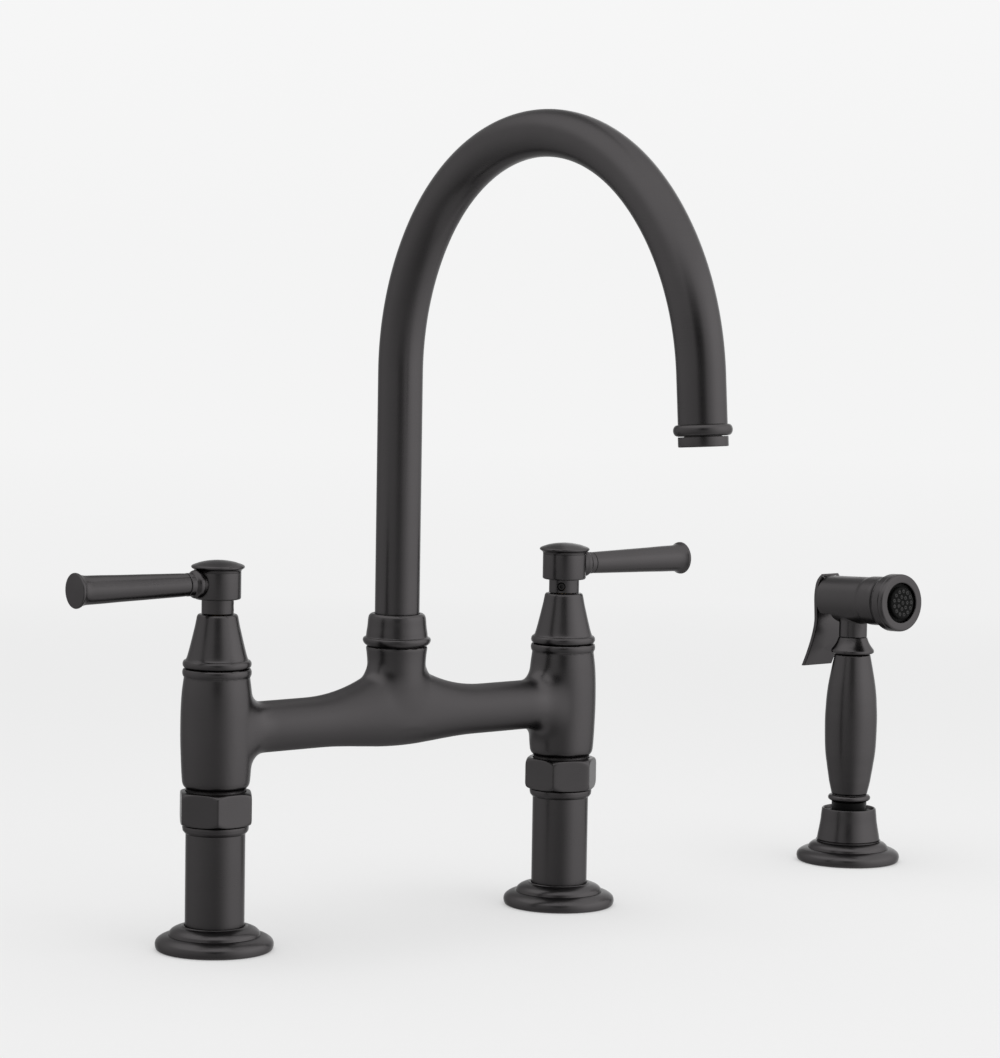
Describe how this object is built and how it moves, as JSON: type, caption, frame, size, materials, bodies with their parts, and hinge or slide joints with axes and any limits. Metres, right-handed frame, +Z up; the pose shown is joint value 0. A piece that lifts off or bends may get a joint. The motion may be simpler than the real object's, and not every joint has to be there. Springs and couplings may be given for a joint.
{
  "type": "bridge kitchen faucet with side sprayer",
  "caption": "Deck-mounted bridge faucet with a high gooseneck swivel spout, lever handles on twin pillars and a side sprayer in its holder.",
  "frame": {"origin": "on the deck, midway between the two inlet pillars", "axes": "+Z up, +X to the right of a person at the sink and towards the side sprayer, -Y towards that person, the way the spout reaches"},
  "size_m": [0.5149, 0.2682, 0.3833],
  "materials": {
    "brushed_black": "satin near-black coating with fine brushing lines under it",
    "brass": "machined, uncoated",
    "steel": "plain stainless steel",
    "ceramic": null,
    "rubber": "black nitrile rubber",
    "nozzle_rubber": "matt black moulded face with soft nozzles",
    "nylon": "black moulded nylon"
  },
  "bodies": {
    "faucet_body": {"left_flange": "brushed_black", "left_pillar": "brushed_black", "left_union_nut": "brushed_black", "left_union_washer": "rubber", "left_cartridge_seal": "rubber", "left_fixed_disc": "ceramic", "left_cartridge_body": "brass", "left_bonnet": "brushed_black", "right_flange": "brushed_black", "right_pillar": "brushed_black", "right_union_nut": "brushed_black", "right_union_washer": "rubber", "right_cartridge_seal": "rubber", "right_fixed_disc": "ceramic", "right_cartridge_body": "brass", "right_bonnet": "brushed_black", "bridge_body": "brushed_black", "spout_bearing_ring": "nylon", "spout_collar": "brushed_black", "sprayer_flange": "brushed_black", "holder_cup": "brushed_black", "holder_bush": "nylon"},
    "left_handle": {"left_handle_hub": "brushed_black", "left_handle_cap": "brushed_black", "left_lever_ferrule": "brushed_black", "left_lever": "brushed_black", "left_set_screw": "steel", "left_spindle": "brass", "left_moving_disc": "ceramic"},
    "right_handle": {"right_handle_hub": "brushed_black", "right_handle_cap": "brushed_black", "right_lever_ferrule": "brushed_black", "right_lever": "brushed_black", "right_set_screw": "steel", "right_spindle": "brass", "right_moving_disc": "ceramic"},
    "spout": {"spout_tube": "brushed_black", "spout_spigot": "brass", "spout_upper_o_ring": "rubber", "spout_lower_o_ring": "rubber", "outlet_ring": "brushed_black", "aerator_housing": "brushed_black", "aerator_screen": "nylon", "aerator_washer": "rubber"},
    "hose_end": {"hose_connector": "brushed_black"},
    "wand": {"wand_end_ring": "brushed_black", "wand_handle": "brushed_black", "wand_collar": "brushed_black", "sprayer_head": "brushed_black", "spray_bezel": "brushed_black", "spray_face": "nozzle_rubber", "trigger_pin": "steel", "return_spring": "steel"},
    "trigger": {"trigger": "brushed_black"},
    "plunger": {"valve_plunger": "steel"}
  },
  "joints": [
    {"name": "spout_swivel", "type": "hinge", "parent": "faucet_body", "child": "spout", "pos_m": [0, 0, 0.13], "axis": [0, 0, 1], "continuous": true},
    {"name": "left_lever_turn", "type": "hinge", "parent": "faucet_body", "child": "left_handle", "pos_m": [-0.1016, 0, 0.16], "axis": [0, 0, 1], "range_deg": [0, 90]},
    {"name": "right_lever_turn", "type": "hinge", "parent": "faucet_body", "child": "right_handle", "pos_m": [0.1016, 0, 0.16], "axis": [0, 0, 1], "range_deg": [-90, 0]},
    {"name": "sprayer_lift", "type": "slide", "parent": "faucet_body", "child": "hose_end", "axis": [0, 0, 1], "range_m": [0, 0.12]},
    {"name": "wand_spin", "type": "hinge", "parent": "hose_end", "child": "wand", "pos_m": [0.311, 0.013, 0.032], "axis": [0, 0, 1], "continuous": true},
    {"name": "trigger_press", "type": "hinge", "parent": "wand", "child": "trigger", "pos_m": [0.311, 0.03212, 0.14811], "axis": [-1, 0, 0], "range_deg": [0, 6], "stiffness_Nm_per_rad": 0.8, "springref_deg": -17.19},
    {"name": "plunger_push", "type": "slide", "parent": "wand", "child": "plunger", "axis": [0, -0.9986, 0.0523], "range_m": [0, 0.0011], "deforming": ["return_spring"]}
  ],
  "couplings": [
    {"joint": "trigger_press", "follows": "plunger_push", "rad_per_m": 95}
  ]
}
